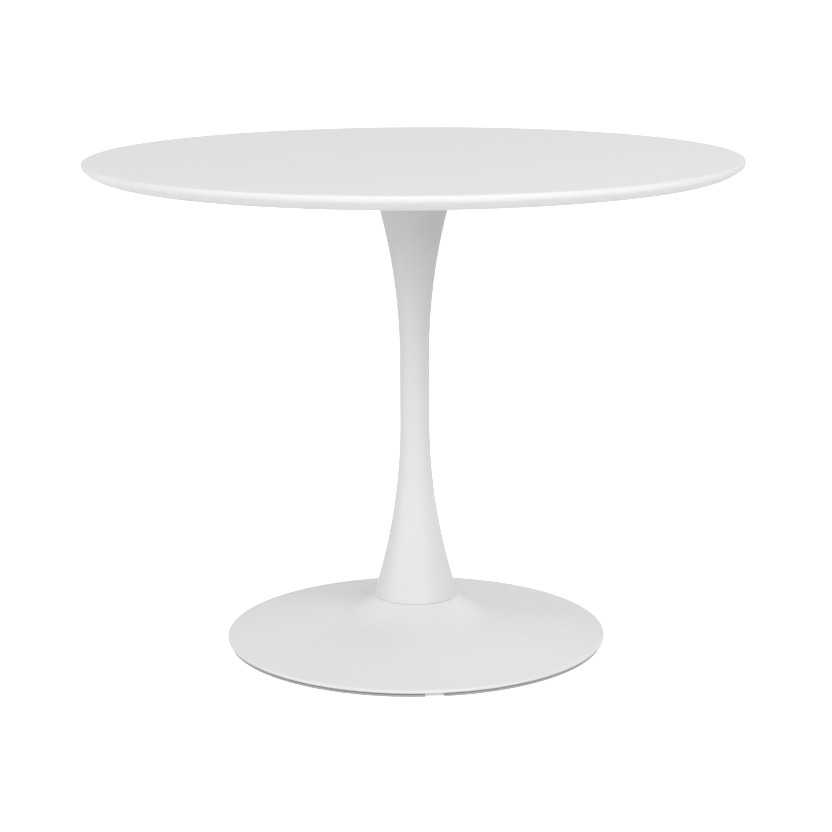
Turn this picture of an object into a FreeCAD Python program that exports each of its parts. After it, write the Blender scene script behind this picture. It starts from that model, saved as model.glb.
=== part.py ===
"""Round pedestal table: a thin disc top on a trumpet column and a weighted dished foot.

Millimetres, +Z up, origin on the floor under the centre of the foot. The front is -Y. The top, its
mounting plate, the column and the foot stand in one stack, which one tie rod holds together.
"""

import math
import os

import FreeCAD
import Part

# Overall sizes
TABLE_HEIGHT = 760.0
TOP_DIAMETER = 1000.0
BASE_DIAMETER = 594.0

# Table top: lacquered board with a rounded upper edge and a long undercut below it
TOP_THICKNESS = 24.0
TOP_EDGE_RADIUS = 3.0
TOP_TIP_RADIUS = 10.0
TOP_UNDERCUT = 40.0

# Column: a spun trumpet, straight at its waist and swept out to both ends
COLUMN_WALL = 2.0
WAIST_RADIUS = 23.0
WAIST_HEIGHT = 400.0
WAIST_STRAIGHT = 98.0
COLUMN_HEAD_RADIUS = 66.8
COLUMN_FOOT_RADIUS = 65.9

# Foot: a spun shell with a shallow cone, a flare up to the column and a rim turned under
BASE_WALL = 2.0
BASE_SLOPE = math.radians(9.6)
BASE_FLARE_RADIUS = 120.0
BASE_SHOULDER_RADIUS = 6.2
BASE_RIM_FLAT = 0.6
BASE_LIP_WIDTH = 30.0
SEAM_HEIGHT = 71.2
SPIGOT_RADIUS = 40.0

# Underside of the foot
BOTTOM_PLATE_THICKNESS = 2.5
BOTTOM_PLATE_SETBACK = 9.5
ACCESS_HOLE_RADIUS = 26.0
RIM_SCREW_COUNT = 8
RIM_SCREW_INSET = 15.0
BALLAST_RADIUS = 100.0
BALLAST_SCREW_CIRCLE_RADIUS = 70.0
BALLAST_SCREW_COUNT = 4
COUNTERBORE_RADIUS = 20.0
COUNTERBORE_DEPTH = 26.0

# Edge strip: a soft angle that runs round the bottom plate, with its ends a little apart
STRIP_HEIGHT = 3.6
STRIP_THICKNESS = 5.2
STRIP_FOOT_WIDTH = 8.0
STRIP_GAP = 29.0
STRIP_GAP_TURN = math.radians(5.4)
STRIP_LIFT = 5.4

# Seam gasket between the column and the foot
GASKET_THICKNESS = 0.7
GASKET_RECESS = 0.8

# Plates and discs that centre the column
MOUNTING_PLATE_RADIUS = 140.0
MOUNTING_PLATE_THICKNESS = 5.0
MOUNTING_SCREW_CIRCLE_RADIUS = 118.0
MOUNTING_SCREW_COUNT = 8
HEAD_DISC_HEIGHT = 10.0
FOOT_DISC_HEIGHT = 10.0

# Tie rod, M12
ROD_RADIUS = 6.0
ROD_NUT_HEIGHT = 10.8
ROD_NUT_ACROSS_FLATS = 18.0
ROD_WASHER_RADIUS = 12.0
ROD_WASHER_THICKNESS = 2.5
SPRING_WASHER_RADIUS = 10.0
SPRING_WASHER_THICKNESS = 3.0
SPRING_WASHER_SLIT = 2.0
ROD_STANDOUT = 3.0

# Mounting screws, M6, with washers and threaded inserts in the board
M6_RADIUS = 3.0
M6_LENGTH = 16.0
M6_HEAD_RADIUS = 5.25
M6_HEAD_HEIGHT = 3.3
M6_SOCKET_ACROSS_FLATS = 4.0
M6_SOCKET_DEPTH = 2.0
M6_WASHER_RADIUS = 6.0
M6_WASHER_THICKNESS = 1.6
INSERT_RADIUS = 5.0
INSERT_LENGTH = 13.0
INSERT_HOLE_DEPTH = 14.0

# Flat-headed screws, M5, in the bottom plate
M5_RADIUS = 2.5
M5_HEAD_RADIUS = 4.6
M5_HEAD_HEIGHT = 2.3
M5_SOCKET_ACROSS_FLATS = 3.0
M5_SOCKET_DEPTH = 1.4
RIM_SCREW_LENGTH = 8.0
BALLAST_SCREW_LENGTH = 16.0

# Clearances
THREAD_CLEARANCE = 0.05
SCREW_CLEARANCE = 0.4
ROD_CLEARANCE = 0.75
DISC_CLEARANCE = 0.3
SPIGOT_CLEARANCE = 0.2
STRIP_CLEARANCE = 0.2
BALLAST_CLEARANCE = 2.0
POCKET_CLEARANCE = 3.0

# Heights and radii that follow from the sizes above
TOP_UNDERSIDE = TABLE_HEIGHT - TOP_THICKNESS
TOP_RADIUS = TOP_DIAMETER / 2
BASE_RADIUS = BASE_DIAMETER / 2
PLATE_UNDERSIDE = TOP_UNDERSIDE - MOUNTING_PLATE_THICKNESS
COLUMN_FOOT = SEAM_HEIGHT + GASKET_THICKNESS
WAIST_BOTTOM = WAIST_HEIGHT - WAIST_STRAIGHT / 2
WAIST_TOP = WAIST_HEIGHT + WAIST_STRAIGHT / 2
BALLAST_TOP = SEAM_HEIGHT - BASE_WALL
BOTTOM_PLATE_TOP = STRIP_LIFT
BOTTOM_PLATE_UNDERSIDE = BOTTOM_PLATE_TOP - BOTTOM_PLATE_THICKNESS
BOTTOM_PLATE_RADIUS = BASE_RADIUS - BOTTOM_PLATE_SETBACK
COUNTERBORE_CEILING = BOTTOM_PLATE_TOP + COUNTERBORE_DEPTH
SHOULDER_HEIGHT = BOTTOM_PLATE_TOP + BASE_RIM_FLAT
STRIP_INNER_RADIUS = BOTTOM_PLATE_RADIUS + STRIP_CLEARANCE


def point(radius, height):
    """Return a point of a half outline, which lies in the XZ plane."""
    return FreeCAD.Vector(radius, 0, height)


def line(start, end):
    """Return a straight edge between two (radius, height) pairs."""
    return Part.LineSegment(point(*start), point(*end)).toShape()


def arc(start, middle, end):
    """Return a circular edge through three (radius, height) pairs."""
    return Part.Arc(point(*start), point(*middle), point(*end)).toShape()


def chain(corners):
    """Return the straight edges that join a list of (radius, height) pairs."""
    return [line(start, end) for start, end in zip(corners, corners[1:])]


def turned(edges):
    """Return the solid that a closed half outline makes when it turns about the Z axis."""
    face = Part.Face(Part.Wire(Part.sortEdges(edges)[0]))
    return face.revolve(FreeCAD.Vector(0, 0, 0), FreeCAD.Vector(0, 0, 1), 360)


def turned_corners(corners):
    """Return the turned solid of an outline with straight sides only."""
    return turned(chain(corners + corners[:1]))


def disc(radius, low, high, x=0.0, y=0.0):
    """Return a plain upright cylinder between two heights."""
    return Part.makeCylinder(radius, high - low, FreeCAD.Vector(x, y, low))


def hexagon(across_flats, low, high):
    """Return an upright hexagonal prism about the Z axis."""
    corner = across_flats / math.sqrt(3)
    corners = [
        FreeCAD.Vector(corner * math.cos(side * math.pi / 3), corner * math.sin(side * math.pi / 3), low)
        for side in range(6)
    ]
    face = Part.Face(Part.makePolygon(corners + corners[:1]))
    return face.extrude(FreeCAD.Vector(0, 0, high - low))


def ring(outer, inner, low, high):
    """Return a flat ring between two heights."""
    return turned_corners([(inner, low), (outer, low), (outer, high), (inner, high)])


def circle_places(radius, count):
    """Return evenly spaced places on a circle, starting half a step from +X."""
    step = 2 * math.pi / count
    return [
        (radius * math.cos((index + 0.5) * step), radius * math.sin((index + 0.5) * step))
        for index in range(count)
    ]


def group(pattern, places):
    """Return copies of one solid at several places, as a group of separate solids."""
    copies = []
    for x, y in places:
        copy = pattern.copy()
        copy.translate(FreeCAD.Vector(x, y, 0))
        copies.append(copy)
    return Part.makeCompound(copies)


MOUNTING_PLACES = circle_places(MOUNTING_SCREW_CIRCLE_RADIUS, MOUNTING_SCREW_COUNT)
BALLAST_PLACES = circle_places(BALLAST_SCREW_CIRCLE_RADIUS, BALLAST_SCREW_COUNT)
RIM_PLACES = circle_places(BOTTOM_PLATE_RADIUS - RIM_SCREW_INSET, RIM_SCREW_COUNT)


def drill(body, radius, low, high, places):
    """Return the body with an upright hole at each place."""
    holes = [disc(radius, low, high, x, y) for x, y in places]
    return body.cut(Part.makeCompound(holes))


# Column outline

def sweep_radius(end_radius, reach):
    """Return the radius of the arc that leaves the waist upright and comes to a radius at the end."""
    spread = end_radius - WAIST_RADIUS
    return (reach ** 2 + spread ** 2) / (2 * spread)


UPPER_SWEEP = sweep_radius(COLUMN_HEAD_RADIUS, PLATE_UNDERSIDE - WAIST_TOP)
LOWER_SWEEP = sweep_radius(COLUMN_FOOT_RADIUS, WAIST_BOTTOM - COLUMN_FOOT)


def column_radius(height, inset):
    """Return the radius of the column's face at a height; the inner face has the wall as its inset."""
    if height > WAIST_HEIGHT:
        reach = max(height - WAIST_TOP, 0)
        sweep = UPPER_SWEEP + inset
    else:
        reach = max(WAIST_BOTTOM - height, 0)
        sweep = LOWER_SWEEP + inset
    return WAIST_RADIUS - inset + sweep - math.sqrt(sweep ** 2 - reach ** 2)


def column_face(inset):
    """Return the edges of one face of the column, from its foot up to its head."""
    def at(height):
        return column_radius(height, inset), height

    return [
        arc(at(COLUMN_FOOT), at((COLUMN_FOOT + WAIST_BOTTOM) / 2), at(WAIST_BOTTOM)),
        line(at(WAIST_BOTTOM), at(WAIST_TOP)),
        arc(at(WAIST_TOP), at((WAIST_TOP + PLATE_UNDERSIDE) / 2), at(PLATE_UNDERSIDE)),
    ]


def column_cut(height):
    """Return the straight edge that crosses the column's wall at a height."""
    return line((column_radius(height, 0), height), (column_radius(height, COLUMN_WALL), height))


# Foot outline: a cone that starts at the shoulder and a flare that meets it smoothly

SHOULDER_CENTRE = (BASE_RADIUS - BASE_SHOULDER_RADIUS, SHOULDER_HEIGHT)
CONE_START = (
    SHOULDER_CENTRE[0] + BASE_SHOULDER_RADIUS * math.sin(BASE_SLOPE),
    SHOULDER_CENTRE[1] + BASE_SHOULDER_RADIUS * math.cos(BASE_SLOPE),
)


def flare_centre():
    """Return the centre of the flare, whose arc touches the cone and ends at the seam."""
    across = COLUMN_FOOT_RADIUS - CONE_START[0]
    up = SEAM_HEIGHT - CONE_START[1]
    along = -across * math.cos(BASE_SLOPE) + up * math.sin(BASE_SLOPE)
    above = across * math.sin(BASE_SLOPE) + up * math.cos(BASE_SLOPE)
    reach = along - math.sqrt(2 * BASE_FLARE_RADIUS * above - above ** 2)
    return (
        CONE_START[0] - reach * math.cos(BASE_SLOPE) + BASE_FLARE_RADIUS * math.sin(BASE_SLOPE),
        CONE_START[1] + reach * math.sin(BASE_SLOPE) + BASE_FLARE_RADIUS * math.cos(BASE_SLOPE),
    )


FLARE_CENTRE = flare_centre()


def cone_height(radius, depth):
    """Return the height of the cone's face at a radius, a depth below the outer face."""
    drop = (radius - CONE_START[0]) * math.tan(BASE_SLOPE)
    return CONE_START[1] - drop - depth / math.cos(BASE_SLOPE)


def flare_point(angle, depth):
    """Return the point of the flare's face whose slope is the given angle."""
    reach = BASE_FLARE_RADIUS + depth
    return FLARE_CENTRE[0] - reach * math.sin(angle), FLARE_CENTRE[1] - reach * math.cos(angle)


def flare_angle(height, depth):
    """Return the slope of the flare's face where it reaches a height."""
    return math.acos((FLARE_CENTRE[1] - height) / (BASE_FLARE_RADIUS + depth))


def dish_face(cone_end_radius, neck_height, depth):
    """Return the edges of one face of the foot, from the cone's outer end in to the neck."""
    cone_end = (cone_end_radius, cone_height(cone_end_radius, depth))
    steepest = flare_angle(neck_height, depth)
    meeting = flare_point(BASE_SLOPE, depth)
    middle = flare_point((BASE_SLOPE + steepest) / 2, depth)
    return [line(cone_end, meeting), arc(meeting, middle, flare_point(steepest, depth))]


def neck_radius(height, depth):
    """Return the radius of the flare's face at a height."""
    return flare_point(flare_angle(height, depth), depth)[0]


# Pieces

def undercut_face(rim_height):
    """Return the edges under the board's rim: a tight tip arc, then a wide one that ends level."""
    fall = rim_height - TOP_UNDERSIDE
    level_start = TOP_RADIUS - TOP_UNDERCUT
    wide = TOP_UNDERCUT ** 2 + fall ** 2 - 2 * TOP_UNDERCUT * TOP_TIP_RADIUS
    wide_radius = wide / (2 * (fall - TOP_TIP_RADIUS))
    tip_centre = (TOP_RADIUS - TOP_TIP_RADIUS, rim_height)
    wide_centre = (level_start, TOP_UNDERSIDE + wide_radius)
    meeting_angle = math.atan2(wide_centre[1] - tip_centre[1], tip_centre[0] - wide_centre[0])

    def on_arc(centre, radius, angle):
        return centre[0] + radius * math.cos(angle), centre[1] - radius * math.sin(angle)

    meeting = on_arc(tip_centre, TOP_TIP_RADIUS, meeting_angle)
    tip_middle = on_arc(tip_centre, TOP_TIP_RADIUS, meeting_angle / 2)
    wide_middle = on_arc(wide_centre, wide_radius, (meeting_angle + math.pi / 2) / 2)
    return [
        arc((TOP_RADIUS, rim_height), tip_middle, meeting),
        arc(meeting, wide_middle, (level_start, TOP_UNDERSIDE)),
    ]


def table_top():
    """Round board with blind holes for the inserts and a pocket for the tie rod's nut."""
    rim_height = TABLE_HEIGHT - TOP_EDGE_RADIUS
    corner = TOP_EDGE_RADIUS * math.sqrt(0.5)
    edge_centre = (TOP_RADIUS - TOP_EDGE_RADIUS, rim_height)
    edge_round = arc(
        (TOP_RADIUS, rim_height),
        (edge_centre[0] + corner, edge_centre[1] + corner),
        (edge_centre[0], TABLE_HEIGHT),
    )
    faces = chain([
        (edge_centre[0], TABLE_HEIGHT),
        (0, TABLE_HEIGHT),
        (0, TOP_UNDERSIDE),
        (TOP_RADIUS - TOP_UNDERCUT, TOP_UNDERSIDE),
    ])
    board = turned([edge_round] + faces + undercut_face(rim_height))
    hole_end = TOP_UNDERSIDE + INSERT_HOLE_DEPTH
    board = drill(board, INSERT_RADIUS + THREAD_CLEARANCE, TOP_UNDERSIDE, hole_end, MOUNTING_PLACES)
    pocket_end = TOP_UNDERSIDE + ROD_WASHER_THICKNESS + ROD_NUT_HEIGHT + ROD_STANDOUT
    return drill(board, ROD_WASHER_RADIUS + POCKET_CLEARANCE, TOP_UNDERSIDE, pocket_end, [(0, 0)])


def top_inserts():
    """Threaded inserts in the board, flush with its underside."""
    low = TOP_UNDERSIDE
    sleeve = ring(INSERT_RADIUS, M6_RADIUS + THREAD_CLEARANCE, low, low + INSERT_LENGTH)
    return group(sleeve, MOUNTING_PLACES)


def mounting_plate():
    """Steel disc under the board, drilled for the mounting screws and the tie rod."""
    plate = disc(MOUNTING_PLATE_RADIUS, PLATE_UNDERSIDE, TOP_UNDERSIDE)
    screw_hole = M6_RADIUS + SCREW_CLEARANCE
    plate = drill(plate, screw_hole, PLATE_UNDERSIDE, TOP_UNDERSIDE, MOUNTING_PLACES)
    return drill(plate, ROD_RADIUS + ROD_CLEARANCE, PLATE_UNDERSIDE, TOP_UNDERSIDE, [(0, 0)])


def mounting_washers():
    """Flat washers between the mounting screws' heads and the plate."""
    low = PLATE_UNDERSIDE - M6_WASHER_THICKNESS
    washer = ring(M6_WASHER_RADIUS, M6_RADIUS + SCREW_CLEARANCE, low, PLATE_UNDERSIDE)
    return group(washer, MOUNTING_PLACES)


def mounting_screws():
    """Round-headed socket screws that hold the plate to the board."""
    seat = PLATE_UNDERSIDE - M6_WASHER_THICKNESS
    foot = seat - M6_HEAD_HEIGHT
    crown = M6_HEAD_RADIUS * 0.55
    head_side = (M6_HEAD_RADIUS * 0.86, foot + M6_HEAD_HEIGHT * 0.35)
    screw = turned([
        arc((crown, foot), head_side, (M6_HEAD_RADIUS, seat)),
        line((M6_HEAD_RADIUS, seat), (M6_RADIUS, seat)),
        line((M6_RADIUS, seat), (M6_RADIUS, seat + M6_LENGTH)),
        line((M6_RADIUS, seat + M6_LENGTH), (0, seat + M6_LENGTH)),
        line((0, seat + M6_LENGTH), (0, foot)),
        line((0, foot), (crown, foot)),
    ])
    screw = screw.cut(hexagon(M6_SOCKET_ACROSS_FLATS, foot, foot + M6_SOCKET_DEPTH))
    return group(screw, MOUNTING_PLACES)


def head_disc():
    """Disc that centres the column's upper end under the mounting plate."""
    low = PLATE_UNDERSIDE - HEAD_DISC_HEIGHT
    radius = column_radius(low, COLUMN_WALL) - DISC_CLEARANCE
    return ring(radius, ROD_RADIUS + ROD_CLEARANCE, low, PLATE_UNDERSIDE)


def column_shell():
    """Spun trumpet column, open at both ends."""
    edges = column_face(0) + [column_cut(PLATE_UNDERSIDE)]
    return turned(edges + column_face(COLUMN_WALL) + [column_cut(COLUMN_FOOT)])


def foot_disc_radius():
    """Return the radius of the foot disc, which fits the column's lower end."""
    return column_radius(COLUMN_FOOT + FOOT_DISC_HEIGHT, COLUMN_WALL) - DISC_CLEARANCE


def foot_disc():
    """Disc that centres the column's lower end, with a spigot in the neck of the foot."""
    bore = ROD_RADIUS + ROD_CLEARANCE
    spigot = SPIGOT_RADIUS - SPIGOT_CLEARANCE
    outer = foot_disc_radius()
    return turned_corners([
        (bore, BALLAST_TOP),
        (spigot, BALLAST_TOP),
        (spigot, SEAM_HEIGHT),
        (outer, SEAM_HEIGHT),
        (outer, COLUMN_FOOT + FOOT_DISC_HEIGHT),
        (bore, COLUMN_FOOT + FOOT_DISC_HEIGHT),
    ])


def seam_gasket():
    """Thin ring that seats the column's edge on the neck of the foot."""
    inner = foot_disc_radius() + DISC_CLEARANCE
    return ring(COLUMN_FOOT_RADIUS - GASKET_RECESS, inner, SEAM_HEIGHT, COLUMN_FOOT)


def tie_rod():
    """Threaded rod from the counterbore in the ballast up to the pocket in the board."""
    low = rod_nut_underside() - ROD_STANDOUT
    high = TOP_UNDERSIDE + ROD_WASHER_THICKNESS + ROD_NUT_HEIGHT + ROD_STANDOUT / 2
    rod = disc(ROD_RADIUS, low, high)
    ends = [edge for edge in rod.Edges if isinstance(edge.Curve, Part.Circle)]
    return rod.makeChamfer(1.0, ends)


def rod_nut_underside():
    """Return the height of the lower nut's underside."""
    return COUNTERBORE_CEILING - ROD_WASHER_THICKNESS - SPRING_WASHER_THICKNESS - ROD_NUT_HEIGHT


def rod_washer(low):
    """Return a flat washer for the tie rod."""
    return ring(ROD_WASHER_RADIUS, ROD_RADIUS + SCREW_CLEARANCE, low, low + ROD_WASHER_THICKNESS)


def rod_nut(low):
    """Return a hexagon nut for the tie rod, with its corners turned back at both faces."""
    nut = hexagon(ROD_NUT_ACROSS_FLATS, low, low + ROD_NUT_HEIGHT)
    flats = ROD_NUT_ACROSS_FLATS / 2
    corner = ROD_NUT_ACROSS_FLATS / math.sqrt(3)
    fall = (corner - flats) * math.tan(math.radians(30))
    high = low + ROD_NUT_HEIGHT
    envelope = turned_corners([
        (0, low),
        (flats, low),
        (corner, low + fall),
        (corner, high - fall),
        (flats, high),
        (0, high),
    ])
    return nut.common(envelope).cut(disc(ROD_RADIUS + THREAD_CLEARANCE, low, high))


def rod_spring_washer():
    """Split washer under the lower nut."""
    high = COUNTERBORE_CEILING - ROD_WASHER_THICKNESS
    low = high - SPRING_WASHER_THICKNESS
    washer = ring(SPRING_WASHER_RADIUS, ROD_RADIUS + SCREW_CLEARANCE, low, high)
    corner = FreeCAD.Vector(0, -SPRING_WASHER_SLIT / 2, low)
    slit = Part.makeBox(SPRING_WASHER_RADIUS * 2, SPRING_WASHER_SLIT, SPRING_WASHER_THICKNESS, corner)
    return washer.cut(slit)


def base_shell():
    """Spun dish with a flat neck for the column and a rim that turns under to a lip."""
    lip_inner = BASE_RADIUS - BASE_LIP_WIDTH
    lip_top = BOTTOM_PLATE_TOP + BASE_WALL
    inside = BASE_RADIUS - 2 * BASE_WALL
    bore = SPIGOT_RADIUS
    neck = neck_radius(BALLAST_TOP, BASE_WALL)
    shoulder_turn = BASE_SLOPE / 2 + math.pi / 4
    shoulder_middle = (
        SHOULDER_CENTRE[0] + BASE_SHOULDER_RADIUS * math.sin(shoulder_turn),
        SHOULDER_CENTRE[1] + BASE_SHOULDER_RADIUS * math.cos(shoulder_turn),
    )
    outer_face = dish_face(CONE_START[0], SEAM_HEIGHT, 0)
    shoulder = arc(CONE_START, shoulder_middle, (BASE_RADIUS, SHOULDER_HEIGHT))
    rim = chain([
        (BASE_RADIUS, SHOULDER_HEIGHT),
        (BASE_RADIUS, BOTTOM_PLATE_TOP),
        (lip_inner, BOTTOM_PLATE_TOP),
        (lip_inner, lip_top),
        (inside, lip_top),
        (inside, cone_height(inside, BASE_WALL)),
    ])
    inner_face = dish_face(inside, BALLAST_TOP, BASE_WALL)
    neck_edges = chain([
        (neck, BALLAST_TOP),
        (bore, BALLAST_TOP),
        (bore, SEAM_HEIGHT),
        (COLUMN_FOOT_RADIUS, SEAM_HEIGHT),
    ])
    shell = turned(outer_face + [shoulder] + rim + inner_face + neck_edges)
    return drill(shell, M5_RADIUS + THREAD_CLEARANCE, BOTTOM_PLATE_TOP, lip_top, RIM_PLACES)


def base_ballast():
    """Cast weight that fills the middle of the foot and carries the clamped neck."""
    depth = BASE_WALL + BALLAST_CLEARANCE
    bore = ROD_RADIUS + ROD_CLEARANCE
    flare_end = flare_point(BASE_SLOPE, depth)
    steepest = flare_angle(BALLAST_TOP, depth)
    if BALLAST_RADIUS > flare_end[0]:
        face = dish_face(BALLAST_RADIUS, BALLAST_TOP, depth)
        side_top = cone_height(BALLAST_RADIUS, depth)
    else:
        gentlest = math.asin((FLARE_CENTRE[0] - BALLAST_RADIUS) / (BASE_FLARE_RADIUS + depth))
        side = flare_point(gentlest, depth)
        face = [arc(side, flare_point((gentlest + steepest) / 2, depth), flare_point(steepest, depth))]
        side_top = side[1]
    sides = chain([
        (neck_radius(BALLAST_TOP, depth), BALLAST_TOP),
        (bore, BALLAST_TOP),
        (bore, COUNTERBORE_CEILING),
        (COUNTERBORE_RADIUS, COUNTERBORE_CEILING),
        (COUNTERBORE_RADIUS, BOTTOM_PLATE_TOP),
        (BALLAST_RADIUS, BOTTOM_PLATE_TOP),
        (BALLAST_RADIUS, side_top),
    ])
    weight = turned(face + sides)
    hole_top = BOTTOM_PLATE_UNDERSIDE + BALLAST_SCREW_LENGTH + M5_RADIUS
    return drill(weight, M5_RADIUS + THREAD_CLEARANCE, BOTTOM_PLATE_TOP, hole_top, BALLAST_PLACES)


def flat_head_screw(length):
    """Return a flat-headed socket screw that stands on the bottom plate's underside."""
    low = BOTTOM_PLATE_UNDERSIDE
    screw = turned_corners([
        (0, low),
        (M5_HEAD_RADIUS, low),
        (M5_RADIUS, low + M5_HEAD_HEIGHT),
        (M5_RADIUS, low + length),
        (0, low + length),
    ])
    return screw.cut(hexagon(M5_SOCKET_ACROSS_FLATS, low, low + M5_SOCKET_DEPTH))


def bottom_plate():
    """Steel disc that closes the foot, with an access hole under the tie rod."""
    low = BOTTOM_PLATE_UNDERSIDE
    high = BOTTOM_PLATE_TOP
    plate = disc(BOTTOM_PLATE_RADIUS, low, high)
    plate = drill(plate, ACCESS_HOLE_RADIUS, low, high, [(0, 0)])
    sink_radius = M5_HEAD_RADIUS + SCREW_CLEARANCE
    hole_radius = M5_RADIUS + SCREW_CLEARANCE
    sink = turned_corners([
        (0, low),
        (sink_radius, low),
        (hole_radius, low + M5_HEAD_HEIGHT),
        (hole_radius, high),
        (0, high),
    ])
    return plate.cut(group(sink, RIM_PLACES + BALLAST_PLACES))


def edge_strip():
    """Plastic angle round the bottom plate's edge, which stands on the floor."""
    outer = STRIP_INNER_RADIUS + STRIP_THICKNESS
    foot_top = BOTTOM_PLATE_UNDERSIDE - STRIP_CLEARANCE
    strip = turned_corners([
        (STRIP_INNER_RADIUS - STRIP_FOOT_WIDTH, 0),
        (outer, 0),
        (outer, STRIP_HEIGHT),
        (STRIP_INNER_RADIUS, STRIP_HEIGHT),
        (STRIP_INNER_RADIUS, foot_top),
        (STRIP_INNER_RADIUS - STRIP_FOOT_WIDTH, foot_top),
    ])
    gap = Part.makeBox(STRIP_GAP, outer, STRIP_HEIGHT, FreeCAD.Vector(-STRIP_GAP / 2, -outer - 1, 0))
    gap.rotate(FreeCAD.Vector(0, 0, 0), FreeCAD.Vector(0, 0, 1), math.degrees(STRIP_GAP_TURN))
    return strip.cut(gap)


PIECES = {
    "table_top": table_top(),
    "top_inserts": top_inserts(),
    "mounting_plate": mounting_plate(),
    "mounting_washers": mounting_washers(),
    "mounting_screws": mounting_screws(),
    "head_disc": head_disc(),
    "column_shell": column_shell(),
    "foot_disc": foot_disc(),
    "seam_gasket": seam_gasket(),
    "tie_rod": tie_rod(),
    "rod_top_washer": rod_washer(TOP_UNDERSIDE),
    "rod_top_nut": rod_nut(TOP_UNDERSIDE + ROD_WASHER_THICKNESS),
    "rod_bottom_washer": rod_washer(COUNTERBORE_CEILING - ROD_WASHER_THICKNESS),
    "rod_spring_washer": rod_spring_washer(),
    "rod_bottom_nut": rod_nut(rod_nut_underside()),
    "base_shell": base_shell(),
    "base_ballast": base_ballast(),
    "ballast_screws": group(flat_head_screw(BALLAST_SCREW_LENGTH), BALLAST_PLACES),
    "bottom_plate": bottom_plate(),
    "rim_screws": group(flat_head_screw(RIM_SCREW_LENGTH), RIM_PLACES),
    "edge_strip": edge_strip(),
}

os.makedirs("parts", exist_ok=True)
for name, shape in PIECES.items():
    shape.exportStep(f"parts/{name}.step")
    print(name, "solids", len(shape.Solids), "valid", shape.isValid(), "litres", round(shape.Volume / 1e6, 4))
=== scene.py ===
"""Round pedestal table: fine shells, hardware, finishes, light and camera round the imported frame.

Everything is in metres in the frame's own axes, with +Z up and the front towards -Y. Each sub-assembly
is a class that turns its pieces from half outlines, and each finish is a small frozen class.
"""

from __future__ import annotations

import logging
import math
from dataclasses import dataclass, field
from enum import Enum

import bmesh
import bpy
from mathutils import Matrix, Vector

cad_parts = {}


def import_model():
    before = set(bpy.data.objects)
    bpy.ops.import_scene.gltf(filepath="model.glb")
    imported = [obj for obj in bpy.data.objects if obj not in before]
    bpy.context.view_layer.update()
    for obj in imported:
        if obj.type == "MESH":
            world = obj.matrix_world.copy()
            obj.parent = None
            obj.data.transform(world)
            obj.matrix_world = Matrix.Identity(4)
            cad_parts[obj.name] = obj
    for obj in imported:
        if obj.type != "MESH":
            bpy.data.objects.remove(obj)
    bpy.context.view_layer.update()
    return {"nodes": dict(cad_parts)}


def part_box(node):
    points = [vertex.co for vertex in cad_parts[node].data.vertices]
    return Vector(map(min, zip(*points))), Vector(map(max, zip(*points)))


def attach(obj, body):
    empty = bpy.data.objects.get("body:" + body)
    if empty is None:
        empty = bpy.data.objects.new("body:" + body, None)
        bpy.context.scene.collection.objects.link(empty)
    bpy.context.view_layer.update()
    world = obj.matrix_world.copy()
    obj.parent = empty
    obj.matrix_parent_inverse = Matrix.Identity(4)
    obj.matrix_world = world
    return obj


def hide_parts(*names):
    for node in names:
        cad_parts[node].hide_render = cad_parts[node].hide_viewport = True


LOG = logging.getLogger("pedestal_table")
BODY = "root"
MM = 0.001
FULL_TURN = 2 * math.pi
MERGE_DISTANCE = 1e-7
CREASE_DEGREES = 32.0


class Slot(Enum):
    """Material slots of the record."""

    TOP_LACQUER = "top_lacquer"
    COLUMN_PAINT = "column_paint"
    BASE_PAINT = "base_paint"
    PLATE_PAINT = "plate_paint"
    RAW_STEEL = "raw_steel"
    ZINC_STEEL = "zinc_steel"
    BALLAST_IRON = "ballast_iron"
    GASKET_RUBBER = "gasket_rubber"
    STRIP_PLASTIC = "strip_plastic"


class Pattern(Enum):
    """Node groups that the finishes are made with."""

    COAT = "sprayed_coat"
    METAL = "worked_metal"
    # Mask for the painted shade on the board's underside.
    UNDERSIDE_SHADE = "backing_sheet"


class Axis(Enum):
    """Axes that a shape can turn about."""

    UP = (0.0, 0.0, 1.0)
    ACROSS = (0.0, 1.0, 0.0)


# Mesh tools


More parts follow.
